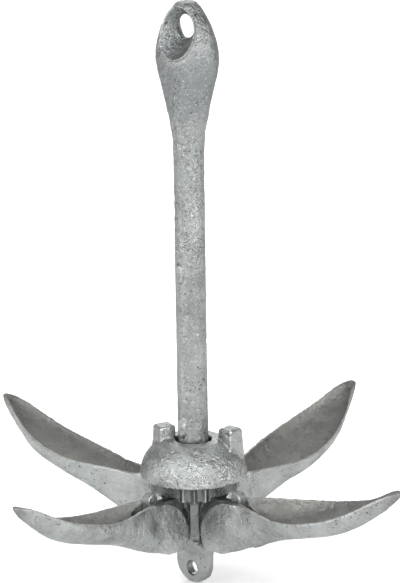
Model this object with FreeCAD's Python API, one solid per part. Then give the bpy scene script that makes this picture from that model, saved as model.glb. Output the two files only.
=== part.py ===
"""Folding grapnel boat anchor: shank, locking collar, crown and four spoon-shaped flukes.

Millimetres, +Z up the shank, origin under the middle of the trip eye. The flukes point along
+X, +Y, -X and -Y, and both eyes are bored along Y. The anchor is drawn open, with the collar
dropped over the roots of the flukes.
"""
import FreeCAD, Part

import math
import os

V = FreeCAD.Vector
X_AXIS = V(1, 0, 0)
Y_AXIS = V(0, 1, 0)
Z_AXIS = V(0, 0, 1)

# Shank: round bar, flattened head with a rope eye, tenon into the crown
HEIGHT = 400.0
SHANK_R = 10.2
SHANK_FOOT_Z = 90.0
EYE_Z = 384.0
EYE_R = 7.8
EYE_LAND = 2.0
EYE_MOUTH_DEG = 41.5
TENON_R = 4.5
TENON_FOOT_Z = 42.0
# Head, one row per section: height, half width along X, half depth along Y
HEAD_SECTIONS = [
    (286.0, SHANK_R, SHANK_R),
    (298.0, 10.24, 10.22),
    (310.0, 11.0, 10.7),
    (323.0, 13.8, 11.9),
    (336.0, 17.8, 13.1),
    (350.0, 22.5, 14.4),
    (363.0, 25.1, 15.2),
    (374.0, 23.3, 14.7),
    (384.0, 19.1, 13.3),
    (392.0, 13.8, 10.8),
    (397.0, 9.6, 8.2),
    (HEIGHT, 6.0, 5.4),
]

# Lugs on the shank that catch the collar
LUG_HEIGHTS = [111.5, 218.5]
LUG_LENGTH = 12.0
LUG_WIDTH = 6.5
LUG_REACH = 11.8

# Fluke hinges
PIVOT_X = 34.0
PIVOT_Z = 49.5
PIN_R = 4.0
PIN_CLEARANCE = 0.08

# Crown: four ribs, cone and seat, four tongues, hub and trip-line tab
RIB_R = 12.0
RIB_WIDTH = 6.4
COLUMN_R = 8.2
COLUMN_TOP_Z = 62.0
CONE_FOOT_Z = 51.0
CONE_TOP_Z = 64.0
SEAT_R = 15.0
TONGUE_HALF = 3.5
TONGUE_NOSE_R = 12.0
TONGUE_END_X = 46.0
TONGUE_ROOF_Z = 65.4
KNUCKLE_TOP_Z = 73.5
KNUCKLE_X = 38.5
KNUCKLE_R = 5.0
KNUCKLE_BACK_R = 2.5
HUB_HALF = 10.5
HUB_TOP_Z = 33.0
HUB_FOOT_Z = 20.0
TAB_HALF = 15.0
TAB_THICKNESS = 7.0
TRIP_EYE_Z = 10.5
TRIP_EYE_R = 5.0
CROWN_PIN_R = 2.5
CROWN_PIN_Z = 46.0
CROWN_PIN_LENGTH = 21.0
OVERLAP = 1.0

# Locking collar: domed cup, skirt with four notches, two prongs
COLLAR_BORE_R = 12.5
COLLAR_TOP_Z = 102.0
COLLAR_TOP_R = 19.0
COLLAR_RIM_R = 36.0
COLLAR_RIM_Z = 77.0
COLLAR_DOME_MID = (32.0, 91.5)
COLLAR_CEILING_GAP = 0.2
SKIRT_R = 28.5
SKIRT_INNER_R = 23.5
CUP_TOP_R = 19.5
CUP_SHOULDER_Z = 85.0
SKIRT_FOOT_Z = 66.3
SKIRT_NOTCH_Z = 67.8
SKIRT_NOTCH_HALF = 10.8
RIDGE_REACH = 30.8
RIDGE_SPACING_DEG = 14.5
RIDGE_WIDTH = 6.4
PRONG_TOP_Z = 110.5
PRONG_FOOT_WIDTH = 13.6
PRONG_TOP_WIDTH = 11.4
PRONG_CHAMFER = 1.0
# One row per prong: its place (x, y) and how far it is turned, in degrees
PRONGS = [(-17.1, -10.1, -18.0), (21.1, 14.1, 0.0)]

# Fluke root: two cheeks either side of a slot. Its side view is given as (x, z) points,
# from the top round the back and the bottom to the spoon.
CHEEK_HALF = 10.0
ROOT_CREST = (36.0, 66.6)
ROOT_BACK_MID = (20.8, 56.5)
ROOT_BACK_FOOT = (15.4, 44.0)
ROOT_WALL_FOOT = (15.8, 37.0)
ROOT_CORNER_MID = (17.8, 32.2)
ROOT_CORNER_END = (22.5, 30.2)
ROOT_BOTTOM = (34.0, 30.2)
ROOT_HEEL = (45.0, 33.6)
ROOT_BROW = (47.0, 67.3)
SLOT_HALF = 3.9
SLOT_R = 25.8

# Fluke spoon, set slightly askew on its root so that the folded flukes nest side by side
SPOON_YAW_DEG = 4.8
SPOON_TWIST_DEG = 7.0
SKEW_START_X = 34.0
SKEW_FULL_X = 64.0
# Shape of a section, as powers of its turn: 1 and 1 is an ellipse, 1 and 2 a parabola, and
# near 0 a rectangle
KEEL_POWERS = (0.85, 0.9)
BOWL_POWERS = (1.0, 1.4)
# One row per section: distance from the anchor's axis, half width at the rim, height of the
# rim, height of the keel, powers. The first three lead from the square root to the spoon.
SPOON_SECTIONS = [
    (42.0, 10.0, 67.3, 32.7, (0.3, 0.3)),
    (52.0, 11.3, 68.2, 35.6, (0.42, 0.45)),
    (68.0, 15.1, 69.0, 42.6, (0.62, 0.7)),
    (90.0, 21.0, 69.9, 51.3, KEEL_POWERS),
    (116.0, 22.1, 74.8, 59.4, KEEL_POWERS),
    (142.0, 16.6, 84.0, 70.5, KEEL_POWERS),
    (161.0, 9.4, 95.0, 84.8, KEEL_POWERS),
    (171.0, 4.4, 99.6, 93.6, KEEL_POWERS),
    (174.5, 1.6, 100.4, 97.6, KEEL_POWERS),
]
# Inside of the spoon: distance from the axis, half width at the rim, height of the floor
BOWL_SECTIONS = [
    (48.0, 5.0, 64.6),
    (57.0, 9.2, 60.6),
    (72.0, 14.2, 57.8),
    (90.0, 19.2, 59.2),
    (116.0, 20.5, 66.2),
    (142.0, 15.0, 77.2),
    (158.0, 8.8, 88.6),
    (168.0, 3.2, 96.2),
]
BOWL_OVERSHOOT = 12.0
SECTION_STEPS = 8
FLUKE_TURNS = {"right": 0.0, "back": 90.0, "left": 180.0, "front": 270.0}


def turned(shape, degrees):
    """Return a copy of the shape turned about the anchor's axis."""
    copy = shape.copy()
    copy.rotate(V(0, 0, 0), Z_AXIS, degrees)
    return copy


def around(shape):
    """Return the shape's four copies, one for each fluke."""
    return [turned(shape, degrees) for degrees in FLUKE_TURNS.values()]


def centred_box(x_size, y_size, z_low, z_high):
    """Return a box centred on the axis in plan."""
    corner = V(-x_size / 2, -y_size / 2, z_low)
    return Part.makeBox(x_size, y_size, z_high - z_low, corner)


def revolve(points):
    """Turn a closed outline of (radius, height) points about the axis."""
    corners = [V(radius, 0, height) for radius, height in points]
    face = Part.Face(Part.makePolygon(corners + corners[:1]))
    return face.revolve(V(0, 0, 0), Z_AXIS, 360)


def along_y(radius, x, z, half_length):
    """Return a cylinder along Y through (x, z)."""
    return Part.makeCylinder(radius, 2 * half_length, V(x, -half_length, z), Y_AXIS)


def head_wire(z, half_x, half_y):
    """Return a level ellipse, or a circle where the head meets the bar."""
    if half_x == half_y:
        return Part.Wire(Part.makeCircle(half_x, V(0, 0, z)))
    return Part.Wire(Part.Ellipse(V(0, 0, z), half_x, half_y).toShape())


def make_lug(z):
    """Return one raised pad on the front of the shank."""
    end_r = LUG_WIDTH / 2
    run = LUG_LENGTH / 2 - end_r
    start = V(0, -LUG_REACH, z)
    depth = LUG_REACH - SHANK_R / 2
    pad = Part.makeBox(LUG_WIDTH, depth, 2 * run, start + V(-end_r, 0, -run))
    for side in (-run, run):
        pad = pad.fuse(Part.makeCylinder(end_r, depth, start + V(0, 0, side), Y_AXIS))
    return pad


def make_shank():
    """Return the bar, its head, the two-sided funnel of the eye, the tenon and the lugs."""
    bar_top = HEAD_SECTIONS[0][0]
    bar = Part.makeCylinder(SHANK_R, bar_top - SHANK_FOOT_Z, V(0, 0, SHANK_FOOT_Z))
    head = Part.makeLoft([head_wire(*row) for row in HEAD_SECTIONS], True)
    tenon_length = SHANK_FOOT_Z - TENON_FOOT_Z
    tenon = Part.makeCylinder(TENON_R, tenon_length, V(0, 0, TENON_FOOT_Z))
    shank = bar.fuse([head, tenon] + [make_lug(z) for z in LUG_HEIGHTS])
    land = EYE_LAND / 2
    reach = 2 * EYE_Z - HEIGHT - bar_top
    mouth_r = EYE_R + (reach - land) * math.tan(math.radians(EYE_MOUTH_DEG))
    eye = along_y(EYE_R, 0, EYE_Z, land)
    for side in (-1, 1):
        start = V(0, side * land, EYE_Z)
        eye = eye.fuse(Part.makeCone(EYE_R, mouth_r, reach - land, start, Y_AXIS * side))
    cross_hole = make_crown_pin()
    return shank.cut(eye).cut(cross_hole).removeSplitter()


def make_crown_pin():
    """Return the pin that holds the shank's tenon, level and midway between two flukes."""
    half = CROWN_PIN_LENGTH / 2
    pin = Part.makeCylinder(CROWN_PIN_R, CROWN_PIN_LENGTH, V(-half, 0, CROWN_PIN_Z), X_AXIS)
    return turned(pin, 45)


def make_tongue():
    """Return the tongue that carries the right-hand fluke, with the knuckle at its end."""
    nose_foot = V(PIVOT_X, 0, PIVOT_Z - TONGUE_NOSE_R)
    nose_mid_turn = math.radians(-45)
    nose_mid = V(PIVOT_X + TONGUE_NOSE_R * math.cos(nose_mid_turn), 0,
                 PIVOT_Z + TONGUE_NOSE_R * math.sin(nose_mid_turn))
    nose_end = V(PIVOT_X + TONGUE_NOSE_R, 0, PIVOT_Z)
    end = TONGUE_END_X
    top = KNUCKLE_TOP_Z
    corner_cut = KNUCKLE_R * (1 - math.sqrt(0.5))
    corner_mid = V(end - corner_cut, 0, top - corner_cut)
    wall_top = V(end, 0, top - KNUCKLE_R)
    crest = V(end - KNUCKLE_R, 0, top)
    back_cut = KNUCKLE_BACK_R * (1 - math.sqrt(0.5))
    back_mid = V(KNUCKLE_X + back_cut, 0, top - back_cut)
    back_top = V(KNUCKLE_X, 0, top - KNUCKLE_BACK_R)
    roof_end = V(KNUCKLE_X, 0, TONGUE_ROOF_Z)
    roof_start = V(PIVOT_X - TONGUE_NOSE_R, 0, TONGUE_ROOF_Z)
    seat = V(SEAT_R - OVERLAP, 0, CONE_TOP_Z)
    inner_top = V(TENON_R + OVERLAP, 0, CONE_TOP_Z)
    inner_foot = V(TENON_R + OVERLAP, 0, nose_foot.z)
    edges = [
        Part.makeLine(inner_foot, nose_foot),
        Part.Arc(nose_foot, nose_mid, nose_end).toShape(),
        Part.makeLine(nose_end, wall_top),
        Part.Arc(wall_top, corner_mid, crest).toShape(),
        Part.Arc(crest, back_mid, back_top).toShape(),
        Part.makeLine(back_top, roof_end),
        Part.makeLine(roof_end, roof_start),
        Part.makeLine(roof_start, seat),
        Part.makeLine(seat, inner_top),
        Part.makeLine(inner_top, inner_foot),
    ]
    plate = Part.Face(Part.Wire(edges)).extrude(V(0, 2 * TONGUE_HALF, 0))
    plate.translate(V(0, -TONGUE_HALF, 0))
    return plate


def make_hub():
    """Return the block that widens from the trip-line tab up to the column."""
    sizes = [(HUB_FOOT_Z, TAB_HALF, TAB_THICKNESS / 2), (HUB_TOP_Z, HUB_HALF, HUB_HALF)]
    wires = []
    for z, half_x, half_y in sizes:
        corners = [V(-half_x, -half_y, z), V(half_x, -half_y, z)]
        corners += [V(half_x, half_y, z), V(-half_x, half_y, z)]
        wires.append(Part.makePolygon(corners + corners[:1]))
    return Part.makeLoft(wires, True, True)


def make_crown():
    """Return the casting at the shank's foot."""
    column_foot_z = HUB_TOP_Z - OVERLAP
    cone = revolve([(0, column_foot_z), (COLUMN_R, column_foot_z), (COLUMN_R, CONE_FOOT_Z),
                    (SEAT_R, CONE_TOP_Z), (SEAT_R, SHANK_FOOT_Z), (0, SHANK_FOOT_Z)])
    rib = centred_box(2 * RIB_R, RIB_WIDTH, column_foot_z, COLUMN_TOP_Z)
    tab = centred_box(2 * TAB_HALF, TAB_THICKNESS, TAB_HALF, HUB_TOP_Z - OVERLAP)
    tab_foot = along_y(TAB_HALF, 0, TAB_HALF, TAB_THICKNESS / 2)
    body = [turned(rib, 45), turned(rib, 135), make_hub(), tab, tab_foot]
    crown = cone.fuse(body + around(make_tongue()))
    pin_holes = around(along_y(PIN_R, PIVOT_X, PIVOT_Z, CHEEK_HALF))
    trip_eye = along_y(TRIP_EYE_R, 0, TRIP_EYE_Z, TAB_THICKNESS)
    socket_length = SHANK_FOOT_Z - TENON_FOOT_Z
    socket = Part.makeCylinder(TENON_R, socket_length, V(0, 0, TENON_FOOT_Z))
    crown = crown.cut(pin_holes + [trip_eye, socket, make_crown_pin()])
    return crown.removeSplitter()


def make_fluke_pin():
    """Return the right-hand fluke's pin, a drive fit in the tongue and flush with the cheeks."""
    return along_y(PIN_R, PIVOT_X, PIVOT_Z, CHEEK_HALF)


def square_wire(z, width):
    """Return a level square about the axis."""
    half = width / 2
    corners = [V(-half, -half, z), V(half, -half, z), V(half, half, z), V(-half, half, z)]
    return Part.makePolygon(corners + corners[:1])


def make_prong(x, y, degrees):
    """Return one upright prong of the collar, tapered towards its chamfered top."""
    foot_z = (COLLAR_RIM_Z + COLLAR_TOP_Z) / 2
    rows = [
        (foot_z, PRONG_FOOT_WIDTH),
        (PRONG_TOP_Z - PRONG_CHAMFER, PRONG_TOP_WIDTH),
        (PRONG_TOP_Z, PRONG_TOP_WIDTH - 2 * PRONG_CHAMFER),
    ]
    prong = Part.makeLoft([square_wire(*row) for row in rows], True, True)
    prong = turned(prong, degrees)
    prong.translate(V(x, y, 0))
    return prong


def make_ridges():
    """Return the pointed upright ridges on the skirt, three midway between each two flukes."""
    height = COLLAR_RIM_Z - SKIRT_FOOT_Z
    back = SKIRT_R - OVERLAP
    corners = [V(back, -RIDGE_WIDTH / 2, SKIRT_FOOT_Z), V(RIDGE_REACH, 0, SKIRT_FOOT_Z)]
    corners.append(V(back, RIDGE_WIDTH / 2, SKIRT_FOOT_Z))
    outline = Part.makePolygon(corners + corners[:1])
    ridge = Part.Face(outline).extrude(V(0, 0, height))
    turns = [45 + step * RIDGE_SPACING_DEG for step in (-1, 0, 1)]
    return [copy for turn in turns for copy in around(turned(ridge, turn))]


def make_collar():
    """Return the domed collar with its bore, hollow, notched skirt and prongs."""
    shoulder = V(COLLAR_TOP_R, 0, COLLAR_TOP_Z)
    rim = V(COLLAR_RIM_R, 0, COLLAR_RIM_Z)
    dome_mid = V(COLLAR_DOME_MID[0], 0, COLLAR_DOME_MID[1])
    foot_outer = V(SKIRT_R, 0, SKIRT_FOOT_Z)
    corners = [rim, V(SKIRT_R, 0, COLLAR_RIM_Z), foot_outer, V(0, 0, SKIRT_FOOT_Z)]
    corners.append(V(0, 0, COLLAR_TOP_Z))
    edges = [Part.Arc(shoulder, dome_mid, rim).toShape()]
    edges += [Part.makeLine(a, b) for a, b in zip(corners, corners[1:] + [shoulder])]
    dome = Part.Face(Part.Wire(edges)).revolve(V(0, 0, 0), Z_AXIS, 360)
    collar = dome.fuse([make_prong(*row) for row in PRONGS] + make_ridges())
    ceiling = SHANK_FOOT_Z + COLLAR_CEILING_GAP
    below = SKIRT_FOOT_Z - OVERLAP
    hollow = revolve([(0, below), (SKIRT_INNER_R, below), (SKIRT_INNER_R, CUP_SHOULDER_Z),
                      (CUP_TOP_R, ceiling), (0, ceiling)])
    bore = Part.makeCylinder(COLLAR_BORE_R, PRONG_TOP_Z, V(0, 0, SKIRT_FOOT_Z))
    notch_size = 2 * SKIRT_NOTCH_HALF
    notch_length = 2 * (RIDGE_REACH + OVERLAP)
    notch_x = centred_box(notch_length, notch_size, below, SKIRT_NOTCH_Z)
    notches = [notch_x, turned(notch_x, 90)]
    return collar.cut([hollow, bore] + notches).removeSplitter()


def skew(x):
    """Return how much of the spoon's skew a section at this distance from the axis has."""
    share = (x - SKEW_START_X) / (SKEW_FULL_X - SKEW_START_X)
    return min(1.0, max(0.0, share))


def spoon_wire(x, half_width, rim_z, keel_z, lid_z, powers):
    """Return one section: a rounded keel up to two rims, closed by a lid at lid_z or higher."""
    side_power, keel_power = powers
    depth = rim_z - keel_z
    shift = math.tan(math.radians(SPOON_YAW_DEG)) * (x - SKEW_START_X)
    twist = math.radians(SPOON_TWIST_DEG) * skew(x)
    outline = []
    for step in range(SECTION_STEPS + 1):
        turn = math.pi * step / SECTION_STEPS
        side = math.copysign(abs(math.cos(turn)) ** side_power, math.cos(turn))
        outline.append((-half_width * side, -depth * math.sin(turn) ** keel_power))
    lid = [(half_width, lid_z - rim_z), (-half_width, lid_z - rim_z)]

    def place(point):
        across, up = point
        y = shift + across * math.cos(twist) - up * math.sin(twist)
        z = rim_z + across * math.sin(twist) + up * math.cos(twist)
        return V(x, y, z)

    curve = Part.BSplineCurve()
    curve.interpolate([place(point) for point in outline])
    corners = [place(outline[-1])]
    if lid_z > rim_z:
        corners += [place(point) for point in lid]
    corners.append(place(outline[0]))
    lines = [Part.makeLine(a, b) for a, b in zip(corners, corners[1:])]
    return Part.Wire([curve.toShape()] + lines)


def rim_height(x):
    """Return the rim's height at a distance from the axis, by straight runs."""
    for (x_a, _, z_a, *_), (x_b, _, z_b, *_) in zip(SPOON_SECTIONS, SPOON_SECTIONS[1:]):
        if x <= x_b:
            return z_a + (z_b - z_a) * (x - x_a) / (x_b - x_a)
    return SPOON_SECTIONS[-1][2]


def in_profile(point):
    """Return a point of the fluke's side view, given as (x, z)."""
    return V(point[0], 0, point[1])


def make_root():
    """Return the fluke's root block, round at the back and flat on top, with no slot yet."""
    crest = in_profile(ROOT_CREST)
    back_foot = in_profile(ROOT_BACK_FOOT)
    wall_foot = in_profile(ROOT_WALL_FOOT)
    corner_end = in_profile(ROOT_CORNER_END)
    bottom = in_profile(ROOT_BOTTOM)
    heel = in_profile(ROOT_HEEL)
    brow = in_profile(ROOT_BROW)
    edges = [
        Part.Arc(crest, in_profile(ROOT_BACK_MID), back_foot).toShape(),
        Part.makeLine(back_foot, wall_foot),
        Part.Arc(wall_foot, in_profile(ROOT_CORNER_MID), corner_end).toShape(),
    ]
    corners = [corner_end, bottom, heel, brow, crest]
    edges += [Part.makeLine(a, b) for a, b in zip(corners, corners[1:])]
    block = Part.Face(Part.Wire(edges)).extrude(V(0, 2 * CHEEK_HALF, 0))
    block.translate(V(0, -CHEEK_HALF, 0))
    return block


def make_fluke():
    """Return the right-hand fluke: root, spoon, slot for the tongue and bore for the pin."""
    shell_wires = [spoon_wire(*row[:4], row[2], row[4]) for row in SPOON_SECTIONS]
    shell = Part.makeLoft(shell_wires, True)
    bowl_wires = []
    for x, half_width, floor_z in BOWL_SECTIONS:
        rim_z = rim_height(x)
        lid_z = rim_z + BOWL_OVERSHOOT
        bowl_wires.append(spoon_wire(x, half_width, rim_z, floor_z, lid_z, BOWL_POWERS))
    bowl = Part.makeLoft(bowl_wires, True)
    slot = along_y(SLOT_R, PIVOT_X, PIVOT_Z, SLOT_HALF)
    bore = along_y(PIN_R + PIN_CLEARANCE, PIVOT_X, PIVOT_Z, CHEEK_HALF + OVERLAP)
    fluke = make_root().fuse(shell).cut([bowl, slot, bore])
    return fluke.removeSplitter()


def main():
    os.makedirs("parts", exist_ok=True)
    nodes = {
        "shank": make_shank(),
        "crown": make_crown(),
        "crown_pin": make_crown_pin(),
        "locking_collar": make_collar(),
    }
    fluke = make_fluke()
    fluke_pin = make_fluke_pin()
    for place, degrees in FLUKE_TURNS.items():
        nodes["fluke_" + place] = turned(fluke, degrees)
        nodes["fluke_pin_" + place] = turned(fluke_pin, degrees)
    for name, shape in nodes.items():
        volume = round(shape.Volume / 1000, 2)
        print(name, "solids", len(shape.Solids), "valid", shape.isValid(), "cm3", volume)
        shape.Solids[0].exportStep("parts/" + name + ".step")


main()
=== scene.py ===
"""Looks of the folding grapnel anchor: cast, hot-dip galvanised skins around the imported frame."""

import math

import bmesh
import bpy
import numpy as np
from mathutils import Matrix, Vector, noise


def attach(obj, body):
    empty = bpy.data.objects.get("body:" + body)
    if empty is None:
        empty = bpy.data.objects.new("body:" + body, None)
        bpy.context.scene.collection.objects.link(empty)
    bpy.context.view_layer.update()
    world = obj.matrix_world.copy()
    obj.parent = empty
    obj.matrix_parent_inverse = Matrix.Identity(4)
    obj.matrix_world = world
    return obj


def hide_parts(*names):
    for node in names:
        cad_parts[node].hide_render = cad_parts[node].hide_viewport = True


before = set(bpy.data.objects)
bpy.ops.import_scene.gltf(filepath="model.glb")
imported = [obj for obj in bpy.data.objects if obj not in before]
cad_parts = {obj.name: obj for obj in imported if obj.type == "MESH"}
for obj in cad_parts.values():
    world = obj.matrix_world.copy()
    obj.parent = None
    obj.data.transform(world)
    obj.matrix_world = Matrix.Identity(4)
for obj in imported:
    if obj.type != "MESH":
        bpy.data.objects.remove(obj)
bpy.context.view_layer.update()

MM = 0.001
SCENE = bpy.context.scene

# Camera: azimuth, elevation and roll in degrees, distance to the look-at point in metres, lens and
# sensor in millimetres, sideways shift as a share of the picture
CAMERA_AZIMUTH = 44.8
CAMERA_ELEVATION = 15.6
CAMERA_ROLL = -0.89
CAMERA_DISTANCE = 2.356
CAMERA_LENS = 219.0
SENSOR_WIDTH = 36.0
SHIFT_X = 0.0156
LOOK_AT = Vector((0, 0, 0.2044))

# Floor: half its size in metres, colour, roughness, its glow before and behind the anchor, and the
# distances towards the camera between which the glow changes
FLOOR_REACH = 12.0
FLOOR_COLOUR = (0.93, 0.93, 0.93, 1)
FLOOR_ROUGHNESS = 0.8
FLOOR_GLOW = (0.2, 0.55)
GLOW_RUN = (0.15, -0.35)
# Surroundings: strength at the horizon and overhead, and the sine of the elevation where it stops
# changing
SKY = (0.9, 0.45)
SKY_FADE = 0.16
# Soft boxes: azimuth and elevation in degrees, distance, width and height in metres, power in watts
LIGHTS = {
    "key_left": (-2.0, 28.0, 1.8, 0.36, 0.9, 20.0),
    "key_right": (84.0, 26.0, 1.8, 0.36, 0.9, 19.0),
    "fill_back": (225.0, 30.0, 2.0, 1.2, 0.8, 12.0),
}

# Voxel size of each casting's skin, in metres, its rounds of smoothing, the further rounds where
# its shape is marked soft, and the rounds that smooth the measured bend
SKIN_VOXEL = {"shank": 0.8 * MM, "crown": 0.7 * MM, "locking_collar": 0.62 * MM, "fluke": 0.8 * MM}
SKIN_ROUNDS = {"shank": 3, "crown": 4, "locking_collar": 3, "fluke": 4}
SOFT_ROUNDS = {"crown": 22, "locking_collar": 6, "fluke": 150}
BEND_ROUNDS = 3
# Share of the way to the neighbours' mean that a vertex goes in each step of a round: there and
# back keeps the size, and there only rounds the shape off
THERE_AND_BACK = (0.5, -0.53)
THERE_ONLY = (0.5,)
# Roughness of each cast skin: (wavelength in mm, height in mm), large to small
SKIN_WAVES = {
    "shank": [(24.0, 0.26), (8.0, 0.10), (3.4, 0.05)],
    "crown": [(16.0, 0.10), (5.0, 0.07), (2.6, 0.03)],
    "locking_collar": [(18.0, 0.22), (6.0, 0.12), (2.6, 0.07)],
    "fluke": [(26.0, 0.28), (7.5, 0.18), (3.2, 0.07)],
}
# Rugged patches of a skin: wavelength and height in mm of their lumps
RUGGED_WAVES = [(5.0, 0.30), (2.4, 0.16)]
# Pits and lumps, in mm: wavelength of the noise they come from, its threshold, height; and how far
# above the threshold a spot has its full height
PITS = (4.6, 0.44, -0.40)
LUMPS = (9.0, 0.46, 0.30)
SPOT_RIM = 0.14

# Height of the finest bumps, which only the materials have
BUMP_HEIGHT = 0.6 * MM

# Shank, by height: where the rugged length, the neck and the head begin and are complete
RUGGED_RUN = (200 * MM, 232 * MM)
NECK_RUN = (240 * MM, 270 * MM)
HEAD_RUN = (318 * MM, 335 * MM)
# Rope eye: height of its axis, radius, widening of its funnel per depth, and the radii between
# which the rugged rim around the funnel fades
EYE_Z = 384.0 * MM
EYE_R = 7.8 * MM
FUNNEL_SLOPE = 0.885
FUNNEL_LIP = 0.6 * MM
EYE_RIM = (21 * MM, 27 * MM)
# Parting ridge down the front and back of the bar: width, height, wavelength over two pi, and how
# far from the middle plane it lies
RIDGE_WIDTH = 0.9 * MM
RIDGE_HEIGHT = 0.22 * MM
RIDGE_WAVE = 7 * MM
RIDGE_FROM = 8 * MM

# Joint of shank and crown, where both stay smooth: up to a height on the shank, and from a height
# or within a radius on the crown
SHANK_SMOOTH_TO = 91 * MM
CROWN_SMOOTH_FROM = 88 * MM
SOCKET_SIDE = 6 * MM

# Crown: heights and radii over which the column's painted shade comes and goes, heights over which the
# hub's rounding ends, a band just wider than the tongues, top of the rounded tab, trip-line eye
PAINTED_SHADE_FOOT = (33 * MM, 38 * MM)
PAINTED_SHADE_REACH = (24 * MM, 34 * MM)
HUB_TOP = (33 * MM, 36 * MM)
TONGUE_SIDE = 5 * MM
TONGUE_FROM = 14 * MM
TAB_TOP = 28 * MM
TRIP_EYE_Z = 10.5 * MM
TRIP_EYE_RIM = 7 * MM

# Locking collar: height of the dome's rim, a radius just outside the skirt, the hollow's radius and
# top, heights over which the dome's rugged part ends, and where the prongs get softer edges
RIM_Z = 77 * MM
SKIRT_SIDE = 31.5 * MM
HOLLOW_R = 24 * MM
HOLLOW_TOP = 91 * MM
DOME_RUN = (90 * MM, 97 * MM)
PRONG_RUN = (103 * MM, 106 * MM)
PRONG_REACH = 14.5 * MM

# Flukes: hinge axis, cheeks, slot, a line just past the slot's side and end, bore, and the low boss
# around it; then, by distance from the shank, the start and end of the rounded heel, the start of
# the bowl, and the worn tip
PIVOT_X = 34.0 * MM
PIVOT_Z = 49.5 * MM
CHEEK_HALF = 10.0 * MM
SLOT_HALF = 3.9 * MM
SLOT_SIDE = 6 * MM
SLOT_END = 62 * MM
BORE_R = 4.3 * MM
BOSS_RUN = (5 * MM, 12 * MM)
BOSS_HEIGHT = 0.35 * MM
HEEL_RUN = (38 * MM, 45 * MM)
HEEL_END = (84 * MM, 96 * MM)
BOWL_RUN = (45 * MM, 51 * MM)
TIP_RUN = (162 * MM, 173 * MM)
TURNS = {"right": 0.0, "back": 90.0, "left": 180.0, "front": 270.0}
# Sides of the discs that close the bores over the pins
DISC_SEGMENTS = 48


# ---------------------------------------------------------------- mesh helpers

def link(obj):
    """Put a new object in the scene."""
    SCENE.collection.objects.link(obj)
    return obj


def read_points(mesh):
    """Return a mesh's vertices as an array."""
    points = np.zeros(len(mesh.vertices) * 3)
    mesh.vertices.foreach_get("co", points)
    return points.reshape(-1, 3)


def read_edges(mesh):
    """Return a mesh's edges as pairs of vertex numbers."""
    edges = np.zeros(len(mesh.edges) * 2, dtype=np.int64)
    mesh.edges.foreach_get("vertices", edges)
    return edges.reshape(-1, 2)


def write_points(mesh, points):
    """Give a mesh new vertex positions."""
    mesh.vertices.foreach_set("co", points.astype(np.float32).ravel())
    mesh.update()


def read_normals(mesh):
    """Return a mesh's vertex normals."""
    normals = np.zeros(len(mesh.vertices) * 3)
    mesh.vertices.foreach_get("normal", normals)
    return normals.reshape(-1, 3)


def neighbour_mean(values, edges, counts):
    """Return the mean of each vertex's neighbours."""
    total = np.zeros_like(values)
    np.add.at(total, edges[:, 0], values[edges[:, 1]])
    np.add.at(total, edges[:, 1], values[edges[:, 0]])
    return total / counts.reshape(-1, *([1] * (values.ndim - 1)))


def relax(points, edges, rounds, weight=1.0, shares=THERE_AND_BACK):
    """Smooth out voxel steps and round sharp edges, by a weight for each vertex."""
    counts = np.bincount(edges.ravel(), minlength=len(points)).clip(1).astype(float)
    for _ in range(rounds):
        for share in shares:
            points = points + weight * share * (neighbour_mean(points, edges, counts) - points)
    return points


def smooth_step(values, low, high):
    """Return 0 below low, 1 above high and a soft run between."""
    t = np.clip((values - low) / (high - low), 0.0, 1.0)
    return t * t * (3 - 2 * t)


def noise_at(points, wavelength, seed):
    """Return smooth noise, about -1 to 1, with the wavelength given in millimetres."""
    offset = Vector((seed * 3.7, seed * 1.3, seed * 2.1))
    return np.array([noise.noise(Vector(p) + offset) for p in points / (wavelength * MM)])


def waves(points, layers, seed):
    """Return a sum of smooth noises, in metres."""
    return sum(noise_at(points, wavelength, seed) * size * MM for wavelength, size in layers)


def spots(points, spec, seed):
    """Return scattered pits or lumps, in metres."""
    wavelength, threshold, size = spec
    return smooth_step(noise_at(points, wavelength, seed), threshold, threshold + SPOT_RIM) * size * MM


def add_discs(mesh, discs):
    """Add closed discs, each given by its centre, axis, radius and thickness."""
    shape = bmesh.new()
    shape.from_mesh(mesh)
    for centre, axis, radius, thickness in discs:
        turn = axis.to_track_quat("Z", "Y").to_matrix().to_4x4()
        bmesh.ops.create_cone(shape, cap_ends=True, segments=DISC_SEGMENTS, radius1=radius,
                              radius2=radius, depth=thickness,
                              matrix=Matrix.Translation(centre) @ turn)
    shape.to_mesh(mesh)
    shape.free()


def voxel_copy(node, name, voxel, discs):
    """Return a new object with the CAD node's shape, and any discs, in even voxels."""
    obj = link(bpy.data.objects.new(name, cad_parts[node].data.copy()))
    add_discs(obj.data, discs)
    remesh = obj.modifiers.new("voxels", "REMESH")
    remesh.mode = "VOXEL"
    remesh.voxel_size = voxel
    remesh.adaptivity = 0.0
    graph = bpy.context.evaluated_depsgraph_get()
    mesh = bpy.data.meshes.new_from_object(obj.evaluated_get(graph))
    obj.modifiers.clear()
    obj.data = mesh
    obj.data.materials.clear()
    return obj


def store(mesh, name, values):
    """Keep one number per vertex for the materials to read."""
    attribute = mesh.attributes.new(name, "FLOAT", "POINT")
    attribute.data.foreach_set("value", values.astype(np.float32))


def bend_of(points, normals, edges):
    """Return how much each vertex stands out (positive) or lies in (negative), smoothed."""
    counts = np.bincount(edges.ravel(), minlength=len(points)).clip(1).astype(float)
    bend = np.einsum("ij,ij->i", points - neighbour_mean(points, edges, counts), normals)
    for _ in range(BEND_ROUNDS):
        bend = 0.5 * bend + 0.5 * neighbour_mean(bend, edges, counts)
    return bend


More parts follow.
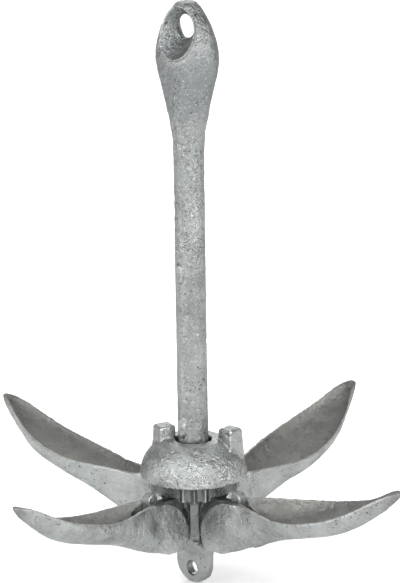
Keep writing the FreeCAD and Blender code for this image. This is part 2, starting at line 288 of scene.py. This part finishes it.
def make_skin(node, kind, body, seed, marks, discs):
    """Build one casting's skin from its CAD node, and let it stand for that node.

    marks(points, normals) returns per-vertex arrays: soft (extra smoothing), quiet (how much of
    the roughness stays), rugged, swell (metres), bowl, painted_shade, tip and dull_and_shade.
    """
    voxel = SKIN_VOXEL[kind]
    skin = voxel_copy(node, "cast_" + node, voxel, discs)
    mesh = skin.data
    edges = read_edges(mesh)
    points = relax(read_points(mesh), edges, SKIN_ROUNDS[kind])
    soft = marks(points, read_normals(mesh)).get("soft")
    if soft is not None:
        points = relax(points, edges, SOFT_ROUNDS[kind], soft[:, None], THERE_ONLY)
    write_points(mesh, points)
    normals = read_normals(mesh)
    mark = marks(points, normals)
    flat = np.zeros(len(points))
    bend = bend_of(points, normals, edges)
    height = waves(points, SKIN_WAVES[kind], seed)
    height += spots(points, PITS, seed + 20) + spots(points, LUMPS, seed + 40)
    rugged = mark.get("rugged", flat)
    height += rugged * waves(points, RUGGED_WAVES, seed + 60)
    height = height * mark.get("quiet", 1.0) + mark.get("swell", 0.0)
    write_points(mesh, points + normals * height[:, None])
    store(mesh, "bend", bend / voxel)
    store(mesh, "rugged", rugged)
    for name in ("bowl", "painted_shade", "tip", "dull_and_shade"):
        store(mesh, name, mark.get(name, flat))
    for polygon in mesh.polygons:
        polygon.use_smooth = True
    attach(skin, body)
    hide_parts(node)
    return skin


# ---------------------------------------------------------------- materials

class Nodes:
    """A small helper that adds linked nodes to one material."""

    def __init__(self, name):
        self.material = bpy.data.materials.new(name)
        self.material.use_nodes = True
        self.tree = self.material.node_tree
        self.tree.nodes.clear()

    def add(self, kind, inputs=None, **settings):
        """Add a node; its inputs are links where they are sockets, and values otherwise."""
        node = self.tree.nodes.new(kind)
        for key, value in settings.items():
            setattr(node, key, value)
        for key, value in (inputs or {}).items():
            socket = node.inputs[key]
            if isinstance(value, bpy.types.NodeSocket):
                self.tree.links.new(value, socket)
            else:
                socket.default_value = value
        return node

    def math(self, operation, *values):
        """Return the result of a sum, product or other operation on values."""
        node = self.tree.nodes.new("ShaderNodeMath")
        node.operation = operation
        for socket, value in zip(node.inputs, values):
            if isinstance(value, bpy.types.NodeSocket):
                self.tree.links.new(value, socket)
            else:
                socket.default_value = value
        return node.outputs[0]

    def span(self, value, low, high, out_low=0.0, out_high=1.0):
        """Map a range onto another, clamped."""
        node = self.add("ShaderNodeMapRange", {"Value": value, "From Min": low, "From Max": high,
                                               "To Min": out_low, "To Max": out_high})
        return node.outputs[0]

    def mix(self, share, a, b):
        """Return colour a with a share of colour b mixed in."""
        node = self.add("ShaderNodeMix", data_type="RGBA")
        for key, value in ((0, share), (6, a), (7, b)):
            if isinstance(value, bpy.types.NodeSocket):
                self.tree.links.new(value, node.inputs[key])
            else:
                node.inputs[key].default_value = value
        return node.outputs[2]

    def noise(self, place, scale, detail=3.0, rough=0.55):
        """Return soft noise, about 0.3 to 0.7."""
        node = self.add("ShaderNodeTexNoise", {"Vector": place, "Scale": scale, "Detail": detail,
                                               "Roughness": rough})
        return node.outputs["Fac"]

    def cells(self, place, scale):
        """Return the distance to the nearest of scattered points."""
        node = self.add("ShaderNodeTexVoronoi", {"Vector": place, "Scale": scale})
        return node.outputs["Distance"]


def grey(value, red=0.0, blue=0.0):
    """Return a grey with a slight tint."""
    return (value * (1 + red), value, value * (1 + blue), 1.0)


def zinc_fields(n):
    """Return the skin's marks, and the noises that colour, roughness and bumps share."""
    place = n.add("ShaderNodeTexCoord").outputs["Object"]
    drawn = n.add("ShaderNodeMapping", {"Vector": place, "Scale": (1.0, 1.0, 0.12)}).outputs[0]
    field = {key: n.add("ShaderNodeAttribute", attribute_name=key).outputs["Fac"]
             for key in ("bend", "rugged", "bowl", "painted_shade", "tip", "dull_and_shade")}
    field["broad"] = n.noise(place, 34.0, 4.0, 0.6)
    field["patch"] = n.noise(place, 120.0, 4.0, 0.65)
    field["lumps"] = n.noise(place, 300.0, 3.0, 0.65)
    field["fine"] = n.noise(place, 640.0, 3.0, 0.6)
    field["grain"] = n.noise(place, 1100.0, 2.0, 0.6)
    field["streak"] = n.noise(drawn, 260.0, 3.0, 0.6)
    field["bloom"] = n.math("MULTIPLY", n.span(n.noise(place, 55.0, 5.0, 0.7), 0.48, 0.62), 0.45)
    # 0 in a pit and 1 elsewhere; pits come in patches, and hardly in the bowls
    pits = n.span(n.cells(place, 330.0), 0.10, 0.26)
    pit_field = n.span(n.noise(place, 60.0, 2.0), 0.48, 0.64)
    pits = n.math("MAXIMUM", pits, n.math("SUBTRACT", 1.0, pit_field))
    field["pits"] = n.math("MAXIMUM", pits, n.math("MULTIPLY", field["bowl"], 0.7))
    return field


def zinc_base(n, field, tone, streaks):
    """Return the mottled grey of the zinc itself, with its bloom, drawn streaks and darker parts: dull
    zinc on the head and funnel, and painted shade on the neck.
    """
    dark = grey(tone * 0.76, -0.04, -0.01)
    light = grey(tone * 1.2, -0.04, -0.02)
    colour = n.mix(n.span(field["broad"], 0.34, 0.66), dark, light)
    colour = n.mix(field["bloom"], colour, grey(tone * 1.22, -0.08, -0.03))
    streak = n.math("MULTIPLY", n.span(field["streak"], 0.5, 0.3), streaks)
    colour = n.mix(streak, colour, grey(tone * 0.6, -0.04, 0.0))
    # Darker on the head and in the funnel as dull zinc, and on the neck as painted shade
    dull_and_shade = n.math("MULTIPLY", field["dull_and_shade"], 0.85)
    return n.mix(dull_and_shade, colour, grey(tone * 0.66, -0.05, 0.02))


def zinc_colour(n, field, tone, speckle, bowl_tone_and_shade, streaks):
    """Return the full colour: base, speckles, spoon insides (partly painted shade), edges (partly
    painted highlight), hollows (painted shade), pits, tip, and painted shade with painted highlights
    under the collar.
    """
    colour = zinc_base(n, field, tone, streaks)
    bright = n.math("MULTIPLY", n.span(field["fine"], 0.56, 0.72), speckle)
    colour = n.mix(bright, colour, grey(tone * 1.8, -0.02, -0.02))
    deep = n.math("MULTIPLY", n.span(field["fine"], 0.44, 0.28), speckle)
    colour = n.mix(deep, colour, grey(tone * 0.42))
    # Inside the spoons, on faces that look upward: a darker, warmer grey, partly the zinc's own tone
    # and partly painted shade
    inside_dark = grey(tone * 0.6, 0.0, -0.06)
    inside_light = grey(tone * 0.82, -0.02, -0.05)
    inside = n.mix(n.span(field["patch"], 0.3, 0.7), inside_dark, inside_light)
    colour = n.mix(n.math("MULTIPLY", field["bowl"], bowl_tone_and_shade), colour, inside)
    edge = n.span(field["bend"], 0.045, 0.13)
    hollow = n.span(field["bend"], -0.03, -0.11)
    # Painted shade: hollows and creases painted darker
    colour = n.mix(n.math("MULTIPLY", hollow, 0.6), colour, grey(tone * 0.3))
    # Standing-out edges painted lighter: partly worn zinc, partly painted highlight
    colour = n.mix(n.math("MULTIPLY", edge, 0.6), colour, grey(tone * 1.7))
    colour = n.mix(n.math("SUBTRACT", 1.0, field["pits"]), colour, grey(tone * 0.2))
    colour = n.mix(n.math("MULTIPLY", field["tip"], 0.6), colour, grey(tone * 0.35, 0.04, -0.04))
    # Painted shade: the column under the collar and the collar's skirt and hollow are painted much
    # darker
    painted_shade = n.math("MULTIPLY", field["painted_shade"], 0.7)
    colour = n.mix(painted_shade, colour, grey(tone * 0.3, -0.04, -0.05))
    # Painted highlight: edges within the painted shade are painted lighter
    glint = n.math("MULTIPLY", edge, n.math("MULTIPLY", field["painted_shade"], 0.6))
    return n.mix(glint, colour, grey(tone * 1.7))


def zinc_roughness(n, field):
    """Return the roughness: matt in the bowls, in the bloom and where dull, shinier where rugged."""
    rough = n.span(field["patch"], 0.3, 0.7, 0.25, 0.43)
    rough = n.math("ADD", rough, n.math("MULTIPLY", field["dull_and_shade"], 0.08))
    rough = n.math("SUBTRACT", rough, n.math("MULTIPLY", field["rugged"], 0.08))
    rough = n.math("ADD", rough, n.math("MULTIPLY", n.math("SUBTRACT", field["fine"], 0.5), 0.4))
    rough = n.math("ADD", rough, n.math("MULTIPLY", field["bowl"], 0.25))
    return n.math("ADD", rough, n.math("MULTIPLY", field["bloom"], 0.35))


def zinc_height(n, field, bumps):
    """Return the height of the finest bumps: lumps, grain and pits."""
    stronger = n.math("ADD", bumps, n.math("MULTIPLY", field["rugged"], 1.9))
    lumps = n.math("ADD", field["lumps"], n.math("MULTIPLY", field["fine"], 0.45))
    height = n.math("MULTIPLY", lumps, stronger)
    height = n.math("ADD", height, n.math("MULTIPLY", field["grain"], 0.25))
    return n.math("ADD", height, n.math("MULTIPLY", field["pits"], 0.7))


def zinc(name, tone, speckle, bumps, bowl_tone_and_shade=0.5, streaks=0.0):
    """Hot-dip galvanised cast iron: mottled zinc, chalky bloom, small pits, worn bright edges.

    tone is the mean grey, speckle and streaks are how much of them shows, bumps is the strength
    of the small bumps, and bowl_tone_and_shade is how far the inside of a spoon gets its darker,
    warmer grey, partly the zinc's own tone and partly painted shade.
    """
    n = Nodes(name)
    field = zinc_fields(n)
    height = zinc_height(n, field, bumps)
    bump = n.add("ShaderNodeBump", {"Strength": 1.0, "Distance": BUMP_HEIGHT, "Height": height})
    shader = n.add("ShaderNodeBsdfPrincipled", {
        "Base Color": zinc_colour(n, field, tone, speckle, bowl_tone_and_shade, streaks),
        "Metallic": n.math("SUBTRACT", 0.95, n.math("MULTIPLY", field["bloom"], 0.6)),
        "Roughness": zinc_roughness(n, field),
        "Normal": bump.outputs["Normal"],
        "Specular Tint": (0.55, 0.55, 0.55, 1.0)})
    n.add("ShaderNodeOutputMaterial", {"Surface": shader.outputs[0]})
    return n.material


def paper(name):
    """Return the floor's matt material, which glows more behind the anchor than before it."""
    n = Nodes(name)
    place = n.add("ShaderNodeTexCoord").outputs["Object"]
    front = direction(CAMERA_AZIMUTH, 0.0)
    along = n.add("ShaderNodeVectorMath", {0: place, 1: front}, operation="DOT_PRODUCT")
    glow = n.span(along.outputs["Value"], *GLOW_RUN, *FLOOR_GLOW)
    shader = n.add("ShaderNodeBsdfPrincipled", {
        "Base Color": FLOOR_COLOUR, "Roughness": FLOOR_ROUGHNESS, "Specular IOR Level": 0.1,
        "Emission Color": (1, 1, 1, 1), "Emission Strength": glow})
    n.add("ShaderNodeOutputMaterial", {"Surface": shader.outputs[0]})
    return n.material


# ---------------------------------------------------------------- camera, floor and light

def look(obj, target, roll=0.0):
    """Aim a camera or light at a point."""
    aim = (target - obj.location).to_track_quat("-Z", "Y").to_matrix().to_4x4()
    spin = Matrix.Rotation(math.radians(roll), 4, "Z")
    obj.matrix_world = Matrix.Translation(obj.location) @ aim @ spin


def direction(azimuth, elevation):
    """Return the unit vector from the object to a viewer; azimuth 0 looks along +Y."""
    a, e = math.radians(azimuth), math.radians(elevation)
    return Vector((math.sin(a) * math.cos(e), -math.cos(a) * math.cos(e), math.sin(e)))


def make_camera():
    """Add the camera, and look through it."""
    camera = link(bpy.data.objects.new("camera", bpy.data.cameras.new("camera")))
    camera.data.lens = CAMERA_LENS
    camera.data.sensor_width = SENSOR_WIDTH
    camera.data.shift_x = SHIFT_X
    camera.data.clip_start = 0.1
    camera.data.clip_end = 50.0
    camera.location = LOOK_AT + direction(CAMERA_AZIMUTH, CAMERA_ELEVATION) * CAMERA_DISTANCE
    look(camera, LOOK_AT, CAMERA_ROLL)
    SCENE.camera = camera


def make_floor():
    """Add a plain floor at the anchor's foot."""
    mesh = bpy.data.meshes.new("floor")
    corners = [(x * FLOOR_REACH, y * FLOOR_REACH, 0) for x, y in ((-1, -1), (1, -1), (1, 1), (-1, 1))]
    mesh.from_pydata(corners, [], [(0, 1, 2, 3)])
    floor = link(bpy.data.objects.new("floor", mesh))
    mesh.materials.append(paper("floor_paper"))


def make_light(name, azimuth, elevation, distance, width, height, power):
    """Add one soft box, aimed at the middle of the anchor."""
    data = bpy.data.lights.new(name, "AREA")
    data.shape = "RECTANGLE"
    data.size = width
    data.size_y = height
    data.energy = power
    lamp = link(bpy.data.objects.new(name, data))
    lamp.location = LOOK_AT + direction(azimuth, elevation) * distance
    look(lamp, LOOK_AT)


def make_world():
    """White at the horizon, dimmer above it."""
    world = bpy.data.worlds.new("studio")
    SCENE.world = world
    world.use_nodes = True
    tree = world.node_tree
    tree.nodes.clear()
    place = tree.nodes.new("ShaderNodeTexCoord")
    split = tree.nodes.new("ShaderNodeSeparateXYZ")
    fade = tree.nodes.new("ShaderNodeMapRange")
    fade.inputs["From Min"].default_value = 0.0
    fade.inputs["From Max"].default_value = SKY_FADE
    fade.inputs["To Min"].default_value = SKY[0]
    fade.inputs["To Max"].default_value = SKY[1]
    back = tree.nodes.new("ShaderNodeBackground")
    out = tree.nodes.new("ShaderNodeOutputWorld")
    tree.links.new(place.outputs["Generated"], split.inputs[0])
    tree.links.new(split.outputs["Z"], fade.inputs["Value"])
    tree.links.new(fade.outputs[0], back.inputs["Strength"])
    tree.links.new(back.outputs[0], out.inputs["Surface"])
    back.inputs["Color"].default_value = (1, 1, 1, 1)


# ---------------------------------------------------------------- the anchor

def local(points, turn):
    """Return x, y and z in the frame of the fluke that is turned by this angle."""
    c, s = math.cos(math.radians(turn)), math.sin(math.radians(turn))
    return points[:, 0] * c + points[:, 1] * s, points[:, 1] * c - points[:, 0] * s, points[:, 2]


def shank_marks(points, normals):
    """Rough upper half, and a faint parting ridge down the front and back."""
    x, y, z = points.T
    head = smooth_step(z, *HEAD_RUN)
    neck = smooth_step(z, *NECK_RUN) * (1 - head)
    rugged = 0.12 + 0.8 * smooth_step(z, *RUGGED_RUN) * (1 - 0.55 * head)
    from_eye = np.hypot(x, z - EYE_Z)
    funnel = from_eye < EYE_R + np.abs(y) * FUNNEL_SLOPE + FUNNEL_LIP
    rim = 1 - smooth_step(from_eye, *EYE_RIM)
    rugged = np.where(funnel, 0.25, np.maximum(rugged, 0.95 * rim))
    ridge = np.exp(-(x / RIDGE_WIDTH) ** 2) * (np.abs(y) > RIDGE_FROM) * (1 - head)
    ridge *= 0.6 + 0.4 * np.sin(z / RIDGE_WAVE)
    quiet = np.where(z < SHANK_SMOOTH_TO, 0.0, np.where(funnel, 0.6, 1.0))
    # The neck's share of dull_and_shade is painted shade on the upper shank
    return {"rugged": rugged, "swell": ridge * RIDGE_HEIGHT, "quiet": quiet,
            "dull_and_shade": head * (1 - 0.8 * rim) + 0.5 * funnel + 0.35 * neck}


def crown_marks(points, normals):
    """Painted shade on the column under the collar, rounded tab, calm flanks where the flukes turn."""
    x, y, z = points.T
    reach = np.hypot(x, y)
    # Where the column under the collar gets painted shade
    painted_shade = smooth_step(z, *PAINTED_SHADE_FOOT) * (1 - smooth_step(reach, *PAINTED_SHADE_REACH))
    flank = (np.minimum(np.abs(x), np.abs(y)) < TONGUE_SIDE) & (reach > TONGUE_FROM)
    flank &= z > HUB_TOP[0]
    socket = (reach < SOCKET_SIDE) | (z > CROWN_SMOOTH_FROM)
    quiet = np.where(flank, 0.3, 1.0)
    eye = np.hypot(x, z - TRIP_EYE_Z) < TRIP_EYE_RIM
    soft = np.where(eye, 0.25, 1.0) * (1 - smooth_step(z, *HUB_TOP)) * (reach > SOCKET_SIDE)
    soft = np.where(z < TAB_TOP, np.where(eye, 0.25, 1.0), soft)
    return {"soft": soft, "painted_shade": 0.65 * painted_shade, "quiet": np.where(socket, 0.0, quiet)}


def collar_marks(points, normals):
    """Rugged lower dome, and painted shade on the skirt and hollow under the rim."""
    x, y, z = points.T
    reach = np.hypot(x, y)
    under = (reach < SKIRT_SIDE) & (z < RIM_Z) | (normals[:, 2] < -0.6)
    inside = (reach < HOLLOW_R) & (z < HOLLOW_TOP)
    dome = (1 - smooth_step(z, *DOME_RUN)) * (reach > HOLLOW_R) * (~under)
    # Where the skirt and hollow under the rim get painted shade; the same mask also calms their
    # roughness
    painted_shade = np.where(under | inside, 1.0, 0.0)
    painted_shade = np.where((reach > HOLLOW_R) & (z < RIM_Z), 1.15, painted_shade)
    soft = 0.35 * smooth_step(z, *PRONG_RUN) * (reach > PRONG_REACH)
    return {"soft": soft, "rugged": 0.1 + 0.55 * dome, "painted_shade": painted_shade,
            "quiet": 1.0 - 0.6 * painted_shade}


def fluke_marks(turn):
    """Return the marking function of the fluke that is turned by this angle."""
    def marks(points, normals):
        x, y, z = local(points, turn)
        hinge = (np.abs(y) < SLOT_SIDE) & (x < SLOT_END)
        away = np.hypot(x - PIVOT_X, z - PIVOT_Z)
        boss = (1 - smooth_step(away, *BOSS_RUN)) * (np.abs(y) > CHEEK_HALF - MM)
        heel = smooth_step(x, *HEEL_RUN) * (1 - smooth_step(x, *HEEL_END))
        heel *= smooth_step(-normals[:, 2], -0.3, 0.0) * (~hinge)
        # Up-facing faces in the spoon, which the materials paint darker: partly own tone, partly
        # painted shade
        bowl = smooth_step(normals[:, 2], 0.02, 0.35) * smooth_step(x, *BOWL_RUN)
        return {"soft": heel, "quiet": np.where(hinge, 0.2, 1.0), "swell": boss * BOSS_HEIGHT,
                "bowl": bowl, "tip": smooth_step(x, *TIP_RUN), "rugged": 0.15 * (1 - bowl)}
    return marks


def pin_discs(turn):
    """Return the two discs that close a fluke's bore over its pin's ends."""
    spin = Matrix.Rotation(math.radians(turn), 4, "Z")
    axis = spin @ Vector((0, 1, 0))
    middle = (CHEEK_HALF + SLOT_HALF) / 2
    centres = [spin @ Vector((PIVOT_X, side * middle, PIVOT_Z)) for side in (-1, 1)]
    return [(centre, axis, BORE_R, CHEEK_HALF - SLOT_HALF) for centre in centres]


def castings():
    """Return each casting's node, kind, body, slot, marking function and discs."""
    rows = [
        ("shank", "shank", "shank_and_crown", "shank_zinc", shank_marks, ()),
        ("crown", "crown", "shank_and_crown", "crown_zinc", crown_marks, ()),
        ("locking_collar", "locking_collar", "collar", "collar_zinc", collar_marks, ()),
    ]
    for place, turn in TURNS.items():
        node = "fluke_" + place
        rows.append((node, "fluke", node + "_body", "fluke_zinc", fluke_marks(turn), pin_discs(turn)))
    return rows


def build():
    """Put a skin on every casting, and paint the pins."""
    paints = {
        "shank_zinc": zinc("galvanised_shank", tone=0.345, speckle=0.6, bumps=1.1, streaks=0.35),
        "crown_zinc": zinc("galvanised_crown", tone=0.345, speckle=0.3, bumps=0.8),
        "collar_zinc": zinc("galvanised_collar", tone=0.385, speckle=0.5, bumps=1.2),
        "fluke_zinc": zinc("galvanised_fluke", tone=0.37, speckle=0.38, bumps=0.85, bowl_tone_and_shade=1.0),
    }
    for seed, (node, kind, body, slot, marks, discs) in enumerate(castings()):
        skin = make_skin(node, kind, body, seed, marks, discs)
        skin.data.materials.append(paints[slot])
    pin_paint = zinc("galvanised_pin", tone=0.42, speckle=0.3, bumps=0.4)
    for name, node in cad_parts.items():
        if "pin" in name:
            node.data.materials.clear()
            node.data.materials.append(pin_paint)


SCENE.view_settings.view_transform = "Standard"
make_camera()
make_floor()
make_world()
for light, settings in LIGHTS.items():
    make_light(light, *settings)
build()
